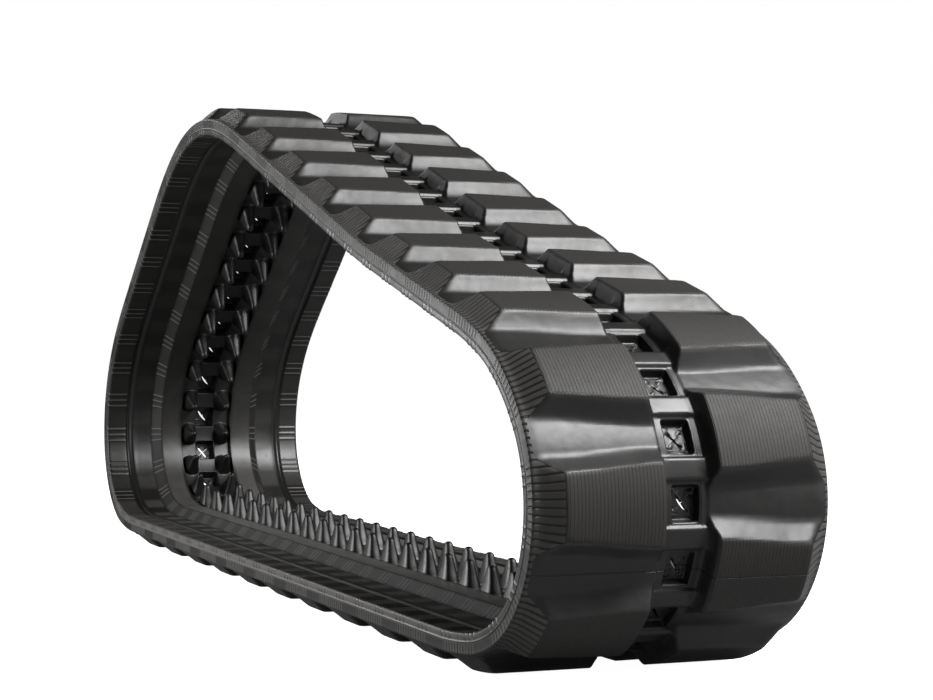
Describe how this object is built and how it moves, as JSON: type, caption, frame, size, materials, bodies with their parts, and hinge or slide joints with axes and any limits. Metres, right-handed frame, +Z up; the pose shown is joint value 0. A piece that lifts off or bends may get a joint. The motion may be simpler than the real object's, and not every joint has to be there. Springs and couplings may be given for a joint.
{
  "type": "rubber track",
  "caption": "Endless rubber crawler track with staggered tread blocks outside, roller paths and twin rows of guide horns inside, standing in its relaxed loop.",
  "frame": {"origin": "on the ground under the middle of the loop's bounding box", "axes": "+X towards the large front bend, +Y across the belt to its right side, +Z up"},
  "size_m": [2.316, 0.45, 0.8996],
  "materials": {
    "tread_rubber": "satin moulded rubber with fine lines on the block tops",
    "inner_rubber": "satin moulded rubber, smoother than the tread",
    "guide_rubber": "glossy moulded rubber",
    "core_steel": "forged and shot-blasted, bonded in rubber",
    "cord_steel": "brass-coated steel cord",
    "ply_fabric": "rubberised woven ply"
  },
  "bodies": {
    "bottom_run": {"bottom_run_left_roller_path": "inner_rubber", "bottom_run_left_tread": "tread_rubber", "bottom_run_left_ply": "ply_fabric", "bottom_run_left_cord_band": "cord_steel", "bottom_run_right_roller_path": "inner_rubber", "bottom_run_right_tread": "tread_rubber", "bottom_run_right_ply": "ply_fabric", "bottom_run_right_cord_band": "cord_steel", "bottom_run_guide_spine": "guide_rubber", "core_bar_22": "core_steel", "core_bar_23": "core_steel", "core_bar_24": "core_steel", "core_bar_25": "core_steel", "core_bar_26": "core_steel", "core_bar_27": "core_steel", "core_bar_28": "core_steel", "core_bar_29": "core_steel", "core_bar_30": "core_steel", "core_bar_31": "core_steel", "core_bar_32": "core_steel", "core_bar_33": "core_steel", "core_bar_34": "core_steel", "core_bar_35": "core_steel", "core_bar_36": "core_steel", "core_bar_37": "core_steel", "core_bar_38": "core_steel", "core_bar_39": "core_steel", "core_bar_40": "core_steel", "core_bar_41": "core_steel", "core_bar_42": "core_steel", "core_bar_43": "core_steel", "core_bar_44": "core_steel", "core_bar_45": "core_steel"},
    "rear_run": {"rear_run_left_roller_path": "inner_rubber", "rear_run_left_tread": "tread_rubber", "rear_run_left_ply": "ply_fabric", "rear_run_right_roller_path": "inner_rubber", "rear_run_right_tread": "tread_rubber", "rear_run_right_ply": "ply_fabric", "rear_run_guide_spine": "guide_rubber", "rear_run_bars_and_cords": "core_steel"},
    "top_run": {"top_run_left_roller_path": "inner_rubber", "top_run_left_tread": "tread_rubber", "top_run_left_ply": "ply_fabric", "top_run_right_roller_path": "inner_rubber", "top_run_right_tread": "tread_rubber", "top_run_right_ply": "ply_fabric", "top_run_guide_spine": "guide_rubber", "top_run_bars_and_cords": "core_steel"},
    "front_bend": {"front_bend_left_roller_path": "inner_rubber", "front_bend_left_tread": "tread_rubber", "front_bend_left_ply": "ply_fabric", "front_bend_right_roller_path": "inner_rubber", "front_bend_right_tread": "tread_rubber", "front_bend_right_ply": "ply_fabric", "front_bend_guide_spine": "guide_rubber", "front_bend_bars_and_cords": "core_steel"}
  },
  "joints": [
    {"name": "rear_lower_flex", "type": "hinge", "parent": "bottom_run", "child": "rear_run", "pos_m": [-1.1092, 0, 0.17937], "axis": [0, 1, 0], "range_deg": [-3, 3], "stiffness_Nm_per_rad": 12000, "springref_deg": -2.05},
    {"name": "rear_upper_flex", "type": "hinge", "parent": "rear_run", "child": "top_run", "pos_m": [-0.42553, 0, 0.85797], "axis": [0, 1, 0], "range_deg": [-3.8, 3.8]},
    {"name": "front_upper_flex", "type": "hinge", "parent": "top_run", "child": "front_bend", "pos_m": [1.04343, 0, 0.40424], "axis": [0, 1, 0], "range_deg": [-7.4, 7.4]}
  ],
  "couplings": [
    {"joint": "rear_upper_flex", "follows": "rear_lower_flex", "ratio": -1.2435},
    {"joint": "front_upper_flex", "follows": "rear_lower_flex", "ratio": 2.4291}
  ]
}
